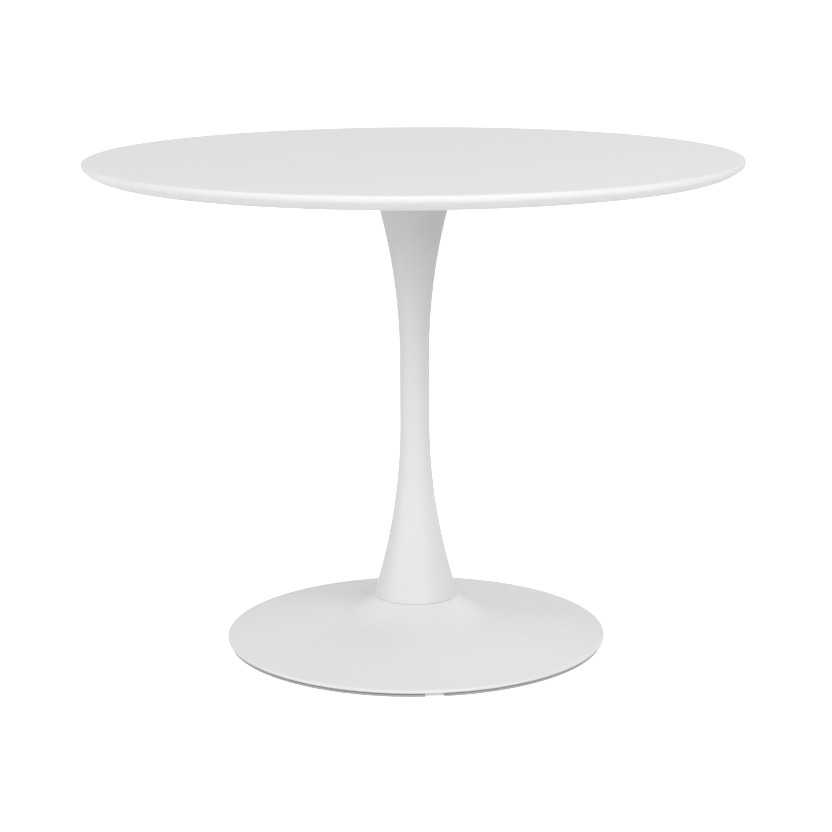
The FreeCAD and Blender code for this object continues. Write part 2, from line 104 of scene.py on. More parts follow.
class Outline:
    """A half outline in the XZ plane, drawn by a pen and then turned about the Z axis."""

    def __init__(self, radius: float, height: float) -> None:
        """Put the pen down.

        Args:
            radius: Distance of the first point from the Z axis.
            height: Height of the first point.
        """
        self.mesh = bmesh.new()
        self.pen = self.mesh.verts.new((radius, 0.0, height))

    def line(self, radius: float, height: float, pieces: int = 1) -> Outline:
        """Draw a straight stretch.

        Args:
            radius: Radius where the stretch ends.
            height: Height where the stretch ends.
            pieces: Number of equal edges in it.

        Returns:
            The outline itself.
        """
        step = (Vector((radius, 0.0, height)) - self.pen.co) / pieces
        for _ in range(pieces):
            grown = bmesh.ops.extrude_vert_indiv(self.mesh, verts=[self.pen])
            self.pen = grown["verts"][0]
            bmesh.ops.translate(self.mesh, verts=[self.pen], vec=step)
        return self

    def arc(self, radius: float, height: float, degrees: float, pieces: int) -> Outline:
        """Swing the pen round a centre.

        Args:
            radius: Radius of the centre.
            height: Height of the centre.
            degrees: Angle of the swing; a positive one goes from up towards outwards.
            pieces: Number of edges in the arc.

        Returns:
            The outline itself.
        """
        swung = bmesh.ops.spin(
            self.mesh,
            geom=[self.pen],
            cent=(radius, 0.0, height),
            axis=Axis.ACROSS.value,
            angle=math.radians(degrees),
            steps=pieces,
        )
        self.pen = next(item for item in swung["geom_last"] if isinstance(item, bmesh.types.BMVert))
        return self

    def turn(self, steps: int) -> bmesh.types.BMesh:
        """Turn the outline right round the Z axis.

        Args:
            steps: Number of facets round the axis.

        Returns:
            The closed mesh, with its faces pointing outwards.
        """
        bmesh.ops.remove_doubles(self.mesh, verts=self.mesh.verts[:], dist=MERGE_DISTANCE)
        bmesh.ops.spin(
            self.mesh,
            geom=self.mesh.verts[:] + self.mesh.edges[:],
            cent=(0.0, 0.0, 0.0),
            axis=Axis.UP.value,
            angle=FULL_TURN,
            steps=steps,
            use_merge=True,
        )
        return tidy(self.mesh)


def tidy(mesh: bmesh.types.BMesh) -> bmesh.types.BMesh:
    """Merge doubles and turn the faces outwards.

    Args:
        mesh: The mesh to tidy.

    Returns:
        The same mesh.
    """
    bmesh.ops.remove_doubles(mesh, verts=mesh.verts[:], dist=MERGE_DISTANCE)
    bmesh.ops.dissolve_degenerate(mesh, edges=mesh.edges[:], dist=MERGE_DISTANCE)
    bmesh.ops.recalc_face_normals(mesh, faces=mesh.faces[:])
    return mesh


def as_object(mesh: bmesh.types.BMesh, name: str) -> bpy.types.Object:
    """Put a mesh into the scene with smooth shading and crisp corners.

    Args:
        mesh: The finished mesh, which is freed.
        name: Name of the new object.

    Returns:
        The new object, at the origin.
    """
    data = bpy.data.meshes.new(name)
    mesh.to_mesh(data)
    mesh.free()
    data.shade_smooth()
    data.set_sharp_from_angle(angle=math.radians(CREASE_DEGREES))
    made = bpy.data.objects.new(name, data)
    bpy.context.scene.collection.objects.link(made)
    return made


def repeat(mesh: bmesh.types.BMesh, places: list[tuple[float, float]]) -> bmesh.types.BMesh:
    """Copy one shape to several places on a level plane.

    Args:
        mesh: The shape about the Z axis, which is freed.
        places: The x and y of each copy.

    Returns:
        One mesh with all the copies.
    """
    pattern = bpy.data.meshes.new("pattern")
    mesh.to_mesh(pattern)
    mesh.free()
    grouped = bmesh.new()
    for x, y in places:
        held = len(grouped.verts)
        grouped.from_mesh(pattern)
        grouped.verts.ensure_lookup_table()
        bmesh.ops.translate(grouped, verts=grouped.verts[held:], vec=(x, y, 0.0))
    bpy.data.meshes.remove(pattern)
    return grouped


def circle_places(radius: float, count: int) -> list[tuple[float, float]]:
    """Space places evenly on a circle, starting half a step from +X.

    Args:
        radius: Radius of the circle.
        count: Number of places.

    Returns:
        The x and y of each place.
    """
    step = FULL_TURN / count
    angles = [(index + 0.5) * step for index in range(count)]
    return [(radius * math.cos(angle), radius * math.sin(angle)) for angle in angles]


def cut(body: bmesh.types.BMesh, tool: bmesh.types.BMesh) -> bmesh.types.BMesh:
    """Cut one mesh out of another.

    Args:
        body: The mesh to cut, which is freed.
        tool: The mesh to take away, which is freed.

    Returns:
        The cut mesh.
    """
    kept = as_object(body, "cut_body")
    taken = as_object(tool, "cut_tool")
    modifier = kept.modifiers.new("cut", "BOOLEAN")
    modifier.operation = "DIFFERENCE"
    modifier.solver = "EXACT"
    modifier.object = taken
    graph = bpy.context.evaluated_depsgraph_get()
    result = bmesh.new()
    result.from_mesh(kept.evaluated_get(graph).to_mesh())
    for used in (kept, taken):
        data = used.data
        bpy.data.objects.remove(used)
        bpy.data.meshes.remove(data)
    return tidy(result)


# Finishes


class ShaderGroup:
    """A node group with named inputs and outputs, which several materials share.

    Attributes:
        noise_low: Noise value under which a stretched pattern is at its low end.
        noise_high: Noise value over which it is at its high end.
    """

    noise_low = 0.3
    noise_high = 0.7

    def __init__(self, name: Pattern, inputs: dict[str, float], outputs: dict[str, str]) -> None:
        """Make the group and its sockets.

        Args:
            name: Which group it is.
            inputs: Default of each number input, by its name.
            outputs: Socket type of each output, by its name.
        """
        self.tree = bpy.data.node_groups.new(name.value, "ShaderNodeTree")
        for label, value in inputs.items():
            socket = self.tree.interface.new_socket(label, in_out="INPUT", socket_type="NodeSocketFloat")
            socket.default_value = value
        for label, kind in outputs.items():
            self.tree.interface.new_socket(label, in_out="OUTPUT", socket_type=kind)
        self.source = self.tree.nodes.new("NodeGroupInput")
        self.sink = self.tree.nodes.new("NodeGroupOutput")

    def node(self, kind: str, **settings: object) -> bpy.types.Node:
        """Add a node and set its properties.

        Args:
            kind: Blender's name of the node type.
            settings: Properties of the node, by name.

        Returns:
            The new node.
        """
        made = self.tree.nodes.new(kind)
        for label, value in settings.items():
            setattr(made, label, value)
        return made

    def link(self, start: bpy.types.NodeSocket, end: bpy.types.NodeSocket) -> None:
        """Join two sockets."""
        self.tree.links.new(start, end)

    def noise(self, scale: str, detail: float, roughness: float = 0.5) -> bpy.types.NodeSocket:
        """Add a noise pattern on object coordinates.

        Args:
            scale: Name of the group's input that sets the number of grains in a metre.
            detail: Octaves of the noise.
            roughness: Strength of the finer octaves.

        Returns:
            The pattern's number output.
        """
        place = self.node("ShaderNodeTexCoord")
        pattern = self.node("ShaderNodeTexNoise", noise_dimensions="3D")
        pattern.inputs["Detail"].default_value = detail
        pattern.inputs["Roughness"].default_value = roughness
        self.link(place.outputs["Object"], pattern.inputs["Vector"])
        self.link(self.source.outputs[scale], pattern.inputs["Scale"])
        return pattern.outputs["Fac"]

    def spread(self, value: bpy.types.NodeSocket, low: str = "", high: str = "") -> bpy.types.NodeSocket:
        """Stretch a pattern from 0 to 1, or between two of the group's inputs.

        Args:
            value: The pattern.
            low: Name of the input that the pattern's low end takes, if not 0.
            high: Name of the input that the pattern's high end takes, if not 1.

        Returns:
            The stretched number.
        """
        ranged = self.node("ShaderNodeMapRange")
        ranged.inputs["From Min"].default_value = self.noise_low
        ranged.inputs["From Max"].default_value = self.noise_high
        self.link(value, ranged.inputs["Value"])
        if low:
            self.link(self.source.outputs[low], ranged.inputs["To Min"])
        if high:
            self.link(self.source.outputs[high], ranged.inputs["To Max"])
        return ranged.outputs["Result"]

    def bump(self, height: bpy.types.NodeSocket, depth: str) -> bpy.types.NodeSocket:
        """Turn a height pattern into a normal.

        Args:
            height: The pattern.
            depth: Name of the input that holds the depth in metres.

        Returns:
            The normal.
        """
        bumped = self.node("ShaderNodeBump")
        bumped.inputs["Strength"].default_value = 1.0
        self.link(self.source.outputs[depth], bumped.inputs["Distance"])
        self.link(height, bumped.inputs["Height"])
        return bumped.outputs["Normal"]

    def give(self, **values: bpy.types.NodeSocket) -> None:
        """Link sockets to the group's outputs, which are named in lower case here."""
        for label, value in values.items():
            self.link(value, self.sink.inputs[label.capitalize()])


def coat_group() -> bpy.types.NodeTree:
    """Build the group for sprayed coats: broad mottling, soft smudges and a fine orange peel.

    Returns:
        The group's node tree.
    """
    group = ShaderGroup(
        Pattern.COAT,
        {
            "Mottle Scale": 3.0, "Smudge Scale": 14.0, "Peel Scale": 700.0, "Peel Depth": 0.00002,
            "Dull": 0.55, "Bright": 0.45,
        },
        {"Mottle": "NodeSocketFloat", "Roughness": "NodeSocketFloat", "Normal": "NodeSocketVector"},
    )
    mottle = group.spread(group.noise("Mottle Scale", 3.0))
    smudge = group.spread(group.noise("Smudge Scale", 4.0, 0.6), "Dull", "Bright")
    peel = group.bump(group.noise("Peel Scale", 2.0), "Peel Depth")
    group.give(mottle=mottle, roughness=smudge, normal=peel)
    return group.tree


def metal_group() -> bpy.types.NodeTree:
    """Build the group for bare and plated metal: cloudy plating, an uneven gloss and fine pits.

    Returns:
        The group's node tree.
    """
    group = ShaderGroup(
        Pattern.METAL,
        {
            "Cloud Scale": 60.0, "Grain Scale": 900.0, "Pit Scale": 350.0, "Pit Depth": 0.00003,
            "Dull": 0.45, "Bright": 0.25,
        },
        {"Mottle": "NodeSocketFloat", "Roughness": "NodeSocketFloat", "Normal": "NodeSocketVector"},
    )
    cloud = group.spread(group.noise("Cloud Scale", 5.0, 0.65))
    grain = group.spread(group.noise("Grain Scale", 3.0), "Dull", "Bright")
    pits = group.bump(group.noise("Pit Scale", 6.0, 0.7), "Pit Depth")
    group.give(mottle=cloud, roughness=grain, normal=pits)
    return group.tree


def underside_shade_group() -> bpy.types.NodeTree:
    """Build the group that masks the flat underside of the board within a radius, where the painted shade
    goes.

    Returns:
        The group's node tree.
    """
    group = ShaderGroup(
        Pattern.UNDERSIDE_SHADE,
        {"Radius": 0.45, "Outside": 0.46, "Height": 0.737},
        {"Mask": "NodeSocketFloat"},
    )
    place = group.node("ShaderNodeTexCoord")
    parts = group.node("ShaderNodeSeparateXYZ")
    group.link(place.outputs["Object"], parts.inputs["Vector"])
    flat = group.node("ShaderNodeCombineXYZ")
    group.link(parts.outputs["X"], flat.inputs["X"])
    group.link(parts.outputs["Y"], flat.inputs["Y"])
    reach = group.node("ShaderNodeVectorMath", operation="LENGTH")
    group.link(flat.outputs["Vector"], reach.inputs[0])
    inside = group.node("ShaderNodeMapRange")
    group.link(reach.outputs["Value"], inside.inputs["Value"])
    group.link(group.source.outputs["Outside"], inside.inputs["From Min"])
    group.link(group.source.outputs["Radius"], inside.inputs["From Max"])
    below = group.node("ShaderNodeMath", operation="LESS_THAN")
    group.link(parts.outputs["Z"], below.inputs[0])
    group.link(group.source.outputs["Height"], below.inputs[1])
    both = group.node("ShaderNodeMath", operation="MULTIPLY")
    group.link(inside.outputs["Result"], both.inputs[0])
    group.link(below.outputs["Value"], both.inputs[1])
    group.give(mask=both.outputs["Value"])
    return group.tree


def grey(level: float) -> tuple[float, float, float]:
    """Return a neutral linear colour."""
    return level, level, level


@dataclass(frozen=True)
class Finish:
    """A surface finish: two near colours that a pattern mixes, and its gloss and texture.

    Attributes:
        name: Name of the material.
        light: The lighter colour, linear.
        dark: The darker colour, linear.
        group: The pattern group it uses.
        values: The group's inputs that differ from their defaults.
        metallic: How far it is metal.
        specular: Specular level.
    """

    name: str
    light: tuple[float, float, float]
    dark: tuple[float, float, float]
    group: Pattern
    values: dict[str, float] = field(default_factory=dict)
    metallic: float = 0.0
    specular: float = 0.5

    def material(self) -> bpy.types.Material:
        """Build the material.

        Returns:
            The material.
        """
        made = bpy.data.materials.new(self.name)
        made.use_nodes = True
        nodes, links = made.node_tree.nodes, made.node_tree.links
        shader = nodes["Principled BSDF"]
        shader.inputs["Metallic"].default_value = self.metallic
        shader.inputs["Specular IOR Level"].default_value = self.specular
        pattern = nodes.new("ShaderNodeGroup")
        pattern.node_tree = bpy.data.node_groups[self.group.value]
        for label, value in self.values.items():
            pattern.inputs[label].default_value = value
        mix = nodes.new("ShaderNodeMix")
        mix.data_type = "RGBA"
        mix.inputs["A"].default_value = (*self.dark, 1.0)
        mix.inputs["B"].default_value = (*self.light, 1.0)
        links.new(pattern.outputs["Mottle"], mix.inputs["Factor"])
        links.new(mix.outputs["Result"], shader.inputs["Base Color"])
        links.new(pattern.outputs["Roughness"], shader.inputs["Roughness"])
        links.new(pattern.outputs["Normal"], shader.inputs["Normal"])
        return made


@dataclass(frozen=True)
class LacquerWithUndersideShade(Finish):
    """Lacquer on the face and edge of a board whose flat underside is painted dark grey within a radius:
    painted shade, which also keeps bounced light off the column's head.

    Attributes:
        under_shade: Colour of the painted shade on the underside, linear.
        under_shade_radius: Radius within which the shade is painted.
        under_shade_height: Height just above the underside where the shade is painted.
        fade: Width over which the lacquer runs out into the painted shade.
    """

    under_shade: tuple[float, float, float] = grey(0.25)
    under_shade_radius: float = 455.0 * MM
    under_shade_height: float = 737.0 * MM
    fade: float = 6.0 * MM

    def material(self) -> bpy.types.Material:
        """Build the material.

        Returns:
            The material.
        """
        made = super().material()
        nodes, links = made.node_tree.nodes, made.node_tree.links
        base = nodes["Principled BSDF"].inputs["Base Color"]
        lacquer = base.links[0].from_socket
        # Painted shade: dark grey over the underside within the mask, which also keeps bounced light off
        # the column's head.
        mask = nodes.new("ShaderNodeGroup")
        mask.node_tree = bpy.data.node_groups[Pattern.UNDERSIDE_SHADE.value]
        mask.inputs["Radius"].default_value = self.under_shade_radius
        mask.inputs["Outside"].default_value = self.under_shade_radius + self.fade
        mask.inputs["Height"].default_value = self.under_shade_height
        cover = nodes.new("ShaderNodeMix")
        cover.data_type = "RGBA"
        cover.inputs["B"].default_value = (*self.under_shade, 1.0)
        links.new(lacquer, cover.inputs["A"])
        links.new(mask.outputs["Mask"], cover.inputs["Factor"])
        links.new(cover.outputs["Result"], base)
        return made


FINISHES = {
    # The top's lacquer carries painted shade: dark grey on its underside within a radius.
    Slot.TOP_LACQUER: LacquerWithUndersideShade(
        "satin_white_lacquer", grey(0.735), grey(0.725), Pattern.COAT,
        {"Peel Scale": 420.0, "Peel Depth": 0.000012, "Dull": 0.60, "Bright": 0.52}, specular=0.35,
    ),
    # The column takes the foot's white powder coat a little darker: painted shade on the column.
    Slot.COLUMN_PAINT: Finish(
        "white_powder_coat_column_shaded", grey(0.680), grey(0.668), Pattern.COAT,
        {"Peel Scale": 900.0, "Peel Depth": 0.00002, "Dull": 0.52, "Bright": 0.46},
    ),
    Slot.BASE_PAINT: Finish(
        "white_powder_coat_foot", grey(0.722), grey(0.710), Pattern.COAT,
        {"Peel Scale": 900.0, "Peel Depth": 0.00002, "Dull": 0.52, "Bright": 0.46},
    ),
    # The plates' dark grey is painted shade: it darkens the column's head under the board and the recess
    # under the foot's rim.
    Slot.PLATE_PAINT: Finish(
        "dark_grey_painted_shade_plate", grey(0.12), grey(0.10), Pattern.COAT,
        {"Peel Scale": 1200.0, "Peel Depth": 0.00003, "Dull": 0.66, "Bright": 0.58},
    ),
    Slot.RAW_STEEL: Finish(
        "oiled_bare_steel", grey(0.32), grey(0.24), Pattern.METAL,
        {"Cloud Scale": 25.0, "Dull": 0.50, "Bright": 0.34}, metallic=1.0,
    ),
    Slot.ZINC_STEEL: Finish(
        "bright_zinc_plate", (0.62, 0.64, 0.67), (0.50, 0.52, 0.55), Pattern.METAL,
        {"Cloud Scale": 180.0, "Dull": 0.38, "Bright": 0.22, "Pit Depth": 0.00001}, metallic=1.0,
    ),
    Slot.BALLAST_IRON: Finish(
        "black_dipped_iron", grey(0.045), grey(0.022), Pattern.METAL,
        {"Cloud Scale": 30.0, "Pit Scale": 260.0, "Pit Depth": 0.0004, "Dull": 0.72, "Bright": 0.52},
        metallic=0.2,
    ),
    Slot.GASKET_RUBBER: Finish(
        "grey_rubber", grey(0.42), grey(0.38), Pattern.COAT,
        {"Peel Scale": 1500.0, "Dull": 0.78, "Bright": 0.70},
    ),
    Slot.STRIP_PLASTIC: Finish(
        "grey_extruded_plastic", grey(0.42), grey(0.37), Pattern.COAT,
        {"Peel Scale": 1100.0, "Peel Depth": 0.00003, "Dull": 0.60, "Bright": 0.50},
    ),
}


class Paintbox:
    """The table's materials, each built once."""

    def __init__(self) -> None:
        """Build the pattern groups and every finish."""
        coat_group()
        metal_group()
        underside_shade_group()
        self.materials = {slot: finish.material() for slot, finish in FINISHES.items()}

    def dress(self, piece: bpy.types.Object, slot: Slot) -> None:
        """Give a piece the material of a slot, in place of any that it has.

        Args:
            piece: The piece.
            slot: The slot whose finish it takes.
        """
        piece.data.materials.clear()
        piece.data.materials.append(self.materials[slot])


@dataclass
class Assembly:
    """What every sub-assembly shares: the finishes, and how a piece joins the frame.

    Attributes:
        paint: The table's materials.
    """

    paint: Paintbox

    def fit(self, mesh: bmesh.types.BMesh, node: str, slot: Slot) -> None:
        """Make a piece that stands for a node of the frame.

        Args:
            mesh: The finished mesh.
            node: The node it stands for, and its name without the ending.
            slot: The slot whose finish it takes.
        """
        piece = as_object(mesh, f"{node}_shape")
        self.paint.dress(piece, slot)
        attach(piece, BODY)
        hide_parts(node)
        LOG.info("%s: %d faces, %s", piece.name, len(piece.data.polygons), slot.value)

    def keep(self, node: bpy.types.Object, slot: Slot) -> None:
        """Keep a node of the frame and give it its finish.

        Args:
            node: The node.
            slot: The slot whose finish it takes.
        """
        self.paint.dress(node, slot)
        LOG.info("%s: kept, %s", node.name, slot.value)


@dataclass
class TableTop(Assembly):
    """Round board with a rounded upper edge, a long undercut and its drilled underside.

    Attributes:
        edge_radius: Rounding of the upper edge.
        tip_radius: Tight arc just under the widest point.
        undercut: Width over which the underside rises to the rim.
        pocket_gap: Room round the tie rod's washer in the middle pocket.
        pocket_headroom: Room over the tie rod's end.
        insert_count: Number of blind holes for the inserts.
        insert_hole: Radius of those holes.
        steps: Facets round the board.
    """

    edge_radius: float = 3.0 * MM
    tip_radius: float = 10.0 * MM
    undercut: float = 40.0 * MM
    pocket_gap: float = 3.0 * MM
    pocket_headroom: float = 1.5 * MM
    insert_count: int = 8
    insert_hole: float = 5.05 * MM
    steps: int = 480

    def board(self) -> bmesh.types.BMesh:
        """Turn the board and drill it.

        Returns:
            The board's mesh.
        """
        low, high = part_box("table_top")
        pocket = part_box("rod_top_washer")[1].x + self.pocket_gap
        pocket_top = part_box("tie_rod")[1].z + self.pocket_headroom
        radius = high.x
        rim = high.z - self.edge_radius
        fall = rim - low.z
        # The radius of the wide arc, which meets the tip's arc and the flat underside without a corner.
        wide = self.undercut ** 2 + fall ** 2 - 2 * self.undercut * self.tip_radius
        wide /= 2 * (fall - self.tip_radius)
        lean = math.degrees(math.atan2(low.z + wide - rim, self.undercut - self.tip_radius))
        outline = Outline(0.0, high.z)
        outline.line(radius - self.edge_radius, high.z, 24)
        outline.arc(radius - self.edge_radius, rim, 90.0, 10)
        outline.arc(radius - self.tip_radius, rim, lean, 14)
        outline.arc(radius - self.undercut, low.z + wide, 90.0 - lean, 20)
        outline.line(pocket, low.z, 18)
        outline.line(pocket, pocket_top, 2)
        outline.line(0.0, pocket_top, 2)
        return cut(outline.turn(self.steps), self.insert_holes(low.z))

    def insert_holes(self, underside: float) -> bmesh.types.BMesh:
        """Make the pegs that drill the holes for the inserts.

        Args:
            underside: Height of the board's underside.

        Returns:
            All the pegs in one mesh.
        """
        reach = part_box("top_inserts")[1]
        half_step = FULL_TURN / self.insert_count / 2
        circle = (reach.x - self.insert_hole) / math.cos(half_step)
        peg = bmesh.new()
        bmesh.ops.create_cone(
            peg, cap_ends=True, segments=32, radius1=self.insert_hole, radius2=self.insert_hole,
            depth=2 * (reach.z - underside) + MM, matrix=Matrix.Translation((0.0, 0.0, underside)),
        )
        return repeat(peg, circle_places(circle, self.insert_count))

    def build(self) -> None:
        """Build the board."""
        self.fit(self.board(), "table_top", Slot.TOP_LACQUER)


@dataclass
class Column(Assembly):
    """Spun trumpet, upright at its waist and swept out to both ends.

    Attributes:
        wall: Thickness of the metal.
        waist_radius: Radius at the waist.
        waist_height: Height of the waist's middle.
        waist_straight: Length of the straight waist.
        gasket_inset: How far the gasket's edge lies inside the column's.
        steps: Facets round the column.
    """

    wall: float = 2.0 * MM
    waist_radius: float = 23.0 * MM
    waist_height: float = 400.0 * MM
    waist_straight: float = 98.0 * MM
    gasket_inset: float = 0.8 * MM
    steps: int = 192

    def sweep(self, reach: float, spread: float) -> float:
        """Return the radius of the arc that leaves the waist upright and spreads over a reach."""
        return (reach ** 2 + spread ** 2) / (2 * spread)

    def shell(self) -> bmesh.types.BMesh:
        """Turn the trumpet's wall.

        Returns:
            The mesh.
        """
        low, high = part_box("column_shell")
        head = high.x
        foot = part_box("seam_gasket")[1].x + self.gasket_inset
        low_waist = self.waist_height - self.waist_straight / 2
        high_waist = self.waist_height + self.waist_straight / 2
        upper = self.sweep(high.z - high_waist, head - self.waist_radius)
        lower = self.sweep(low_waist - low.z, foot - self.waist_radius)
        upper_angle = math.degrees(math.asin((high.z - high_waist) / upper))
        lower_angle = math.degrees(math.asin((low_waist - low.z) / lower))
        inner_upper = upper + self.wall
        inner_lower = lower + self.wall
        inner_upper_angle = math.degrees(math.asin((high.z - high_waist) / inner_upper))
        inner_lower_angle = math.degrees(math.asin((low_waist - low.z) / inner_lower))
        outline = Outline(head, high.z)
        outline.arc(self.waist_radius + upper, high_waist, -upper_angle, 48)
        outline.line(self.waist_radius, low_waist, 8)
        outline.arc(self.waist_radius + lower, low_waist, -lower_angle, 48)
        inner_foot = self.waist_radius + lower - inner_lower * math.cos(math.radians(inner_lower_angle))
        outline.line(inner_foot, low.z)
        outline.arc(self.waist_radius + lower, low_waist, inner_lower_angle, 24)
        outline.line(self.waist_radius - self.wall, high_waist, 4)
        outline.arc(self.waist_radius + upper, high_waist, inner_upper_angle, 24)
        outline.line(head, high.z)
        return outline.turn(self.steps)

    def build(self) -> None:
        """Build the column."""
        self.fit(self.shell(), "column_shell", Slot.COLUMN_PAINT)


@dataclass
class Foot(Assembly):
    """Spun dish that flares up to the column, and the edge strip that it stands on.

    Attributes:
        wall: Thickness of the dish.
        slope: Slope of the cone in degrees.
        flare_radius: Radius of the flare between cone and neck.
        shoulder_radius: Rounding of the rim.
        rim_flat: Upright part of the rim before its lower edge is rolled.
        bend_radius: Rounding where the rim is rolled under.
        lip_width: Width of the rim's return from the outer edge.
        spigot_radius: Radius of the hole in the neck.
        gasket_inset: How far the gasket's edge lies inside the neck's.
        strip_thickness: Thickness of the edge strip's upright.
        strip_foot: Width of the edge strip's foot.
        strip_rounding: Rounding of the edge strip's outer edges.
        strip_room: Gap between the edge strip's foot and the bottom plate.
        strip_gap: Distance between the edge strip's ends.
        strip_turn: Angle in degrees from the front to the middle of that gap.
        steps: Facets round the dish.
    """

    wall: float = 2.0 * MM
    slope: float = 9.6
    flare_radius: float = 120.0 * MM
    shoulder_radius: float = 6.2 * MM
    rim_flat: float = 0.6 * MM
    bend_radius: float = 3.0 * MM
    lip_width: float = 30.0 * MM
    spigot_radius: float = 40.0 * MM
    gasket_inset: float = 0.8 * MM
    strip_thickness: float = 5.2 * MM
    strip_foot: float = 8.0 * MM
    strip_rounding: float = 0.5 * MM
    strip_room: float = 0.2 * MM
    strip_gap: float = 29.0 * MM
    strip_turn: float = 5.4
    steps: int = 360

    def dish(self) -> bmesh.types.BMesh:
        """Turn the dish: neck, flare, cone, rim, lip and the same faces from inside.

        Returns:
            The mesh.
        """
        low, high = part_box("base_shell")
        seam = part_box("seam_gasket")[1].x + self.gasket_inset
        slope = math.radians(self.slope)
        widest = low.z + self.bend_radius
        # The shoulder is tightened so that the cone above it stays where it is.
        raised = self.bend_radius - self.rim_flat
        rounding = self.shoulder_radius - raised / (1 / math.cos(slope) - math.tan(slope))
        shoulder = (high.x - rounding, widest)
        start = (shoulder[0] + rounding * math.sin(slope), shoulder[1] + rounding * math.cos(slope))
        across, up = seam - start[0], high.z - start[1]
        along = up * math.sin(slope) - across * math.cos(slope)
        above = across * math.sin(slope) + up * math.cos(slope)
        reach = along - math.sqrt(2 * self.flare_radius * above - above ** 2)
        centre = (
            start[0] - reach * math.cos(slope) + self.flare_radius * math.sin(slope),
            start[1] + reach * math.sin(slope) + self.flare_radius * math.cos(slope),
        )
        steepest = math.degrees(math.acos((centre[1] - high.z) / self.flare_radius))
        neck = high.z - self.wall
        inner_flare = self.flare_radius + self.wall
        inner_steepest = math.degrees(math.acos((centre[1] - neck) / inner_flare))
        inside = high.x - 2 * self.wall
        inside_height = start[1] - (inside - start[0]) * math.tan(slope) - self.wall / math.cos(slope)
        outline = Outline(self.spigot_radius, high.z)
        outline.line(seam, high.z, 4)
        outline.arc(centre[0], centre[1], self.slope - steepest, 24)
        outline.line(start[0], start[1], 24)
        outline.arc(shoulder[0], shoulder[1], 90.0 - self.slope, 10)
        outline.arc(high.x - self.bend_radius, widest, 90.0, 10)
        outline.line(high.x - self.lip_width, low.z, 4)
        outline.line(high.x - self.lip_width, low.z + self.wall)
        outline.line(inside, low.z + self.wall, 3)
        outline.line(inside, inside_height)
        inner_meeting = (
            centre[0] - inner_flare * math.sin(slope), centre[1] - inner_flare * math.cos(slope),
        )
        outline.line(inner_meeting[0], inner_meeting[1], 12)
        outline.arc(centre[0], centre[1], inner_steepest - self.slope, 16)
        outline.line(self.spigot_radius, neck, 2)
        outline.line(self.spigot_radius, high.z)
        return outline.turn(self.steps)

    def strip(self) -> bmesh.types.BMesh:
        """Turn the edge strip through all but its gap and close its two ends.

        Returns:
            The mesh.
        """
        low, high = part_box("edge_strip")
        outer = high.x
        inner = outer - self.strip_thickness
        foot_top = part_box("bottom_plate")[0].z - self.strip_room
        soft = self.strip_rounding
        outline = Outline(inner - self.strip_foot, low.z)
        outline.line(outer - soft, low.z, 2)
        outline.arc(outer - soft, low.z + soft, -90.0, 4)
        outline.line(outer, high.z - soft)
        outline.arc(outer - soft, high.z - soft, -90.0, 4)
        outline.line(inner, high.z)
        outline.line(inner, foot_top)
        outline.line(inner - self.strip_foot, foot_top)
        outline.line(inner - self.strip_foot, low.z)
        mesh = outline.mesh
        bmesh.ops.remove_doubles(mesh, verts=mesh.verts[:], dist=MERGE_DISTANCE)
        end = bmesh.ops.contextual_create(mesh, geom=mesh.edges[:])["faces"]
        half_gap = math.asin(self.strip_gap / 2 / inner)
        first = -math.pi / 2 + math.radians(self.strip_turn) + half_gap
        turned = Matrix.Rotation(first, 3, "Z")
        bmesh.ops.rotate(mesh, verts=mesh.verts[:], cent=(0.0, 0.0, 0.0), matrix=turned)
        bmesh.ops.spin(
            mesh, geom=end, cent=(0.0, 0.0, 0.0), axis=Axis.UP.value,
            angle=FULL_TURN - 2 * half_gap, steps=self.steps,
        )
        return tidy(mesh)

    def build(self) -> None:
        """Build the foot's pieces."""
        self.fit(self.dish(), "base_shell", Slot.BASE_PAINT)
        self.fit(self.strip(), "edge_strip", Slot.STRIP_PLASTIC)


@dataclass
class Hardware(Assembly):
    """Plates, discs, fasteners and the tie rod, which hold the stack together.

    Attributes:
        nodes: The frame's nodes by name.
    """

    nodes: dict[str, bpy.types.Object] = field(default_factory=dict)

    def build(self) -> None:
        """Keep the frame's nodes and dress them."""
        kept = {
            "top_inserts": Slot.ZINC_STEEL,
            "mounting_plate": Slot.PLATE_PAINT,
            "mounting_washers": Slot.ZINC_STEEL,
            "mounting_screws": Slot.ZINC_STEEL,
            "head_disc": Slot.RAW_STEEL,
            "foot_disc": Slot.RAW_STEEL,
            "seam_gasket": Slot.GASKET_RUBBER,
            "tie_rod": Slot.ZINC_STEEL,
            "rod_top_washer": Slot.ZINC_STEEL,
            "rod_top_nut": Slot.ZINC_STEEL,
            "rod_bottom_washer": Slot.ZINC_STEEL,
            "rod_spring_washer": Slot.ZINC_STEEL,
            "rod_bottom_nut": Slot.ZINC_STEEL,
            "base_ballast": Slot.BALLAST_IRON,
            "ballast_screws": Slot.ZINC_STEEL,
            "bottom_plate": Slot.PLATE_PAINT,
            "rim_screws": Slot.ZINC_STEEL,
        }
        for name, slot in kept.items():
            self.keep(self.nodes[name], slot)


@dataclass(frozen=True)
class Softbox:
    """A square soft light that faces the table.

    Attributes:
        name: Name of the light.
        turn: Angle in degrees from the front towards +X.
        rise: Angle in degrees above the level.
        watts: Its power.
    """

    name: str
    turn: float
    rise: float
    watts: float

    def hang(self, aim: Vector, distance: float, side: float) -> None:
        """Hang the light.

        Args:
            aim: The point it faces.
            distance: Distance from that point.
            side: Length of its side.
        """
        turn, rise = math.radians(self.turn), math.radians(self.rise)
        away = Vector((math.sin(turn) * math.cos(rise), -math.cos(turn) * math.cos(rise), math.sin(rise)))
        data = bpy.data.lights.new(self.name, "AREA")
        data.shape = "SQUARE"
        data.size = side
        data.energy = self.watts
        lamp = bpy.data.objects.new(self.name, data)
        lamp.location = aim + distance * away
        lamp.rotation_euler = away.to_track_quat("Z", "Y").to_euler()
        lamp.visible_camera = False
        bpy.context.scene.collection.objects.link(lamp)


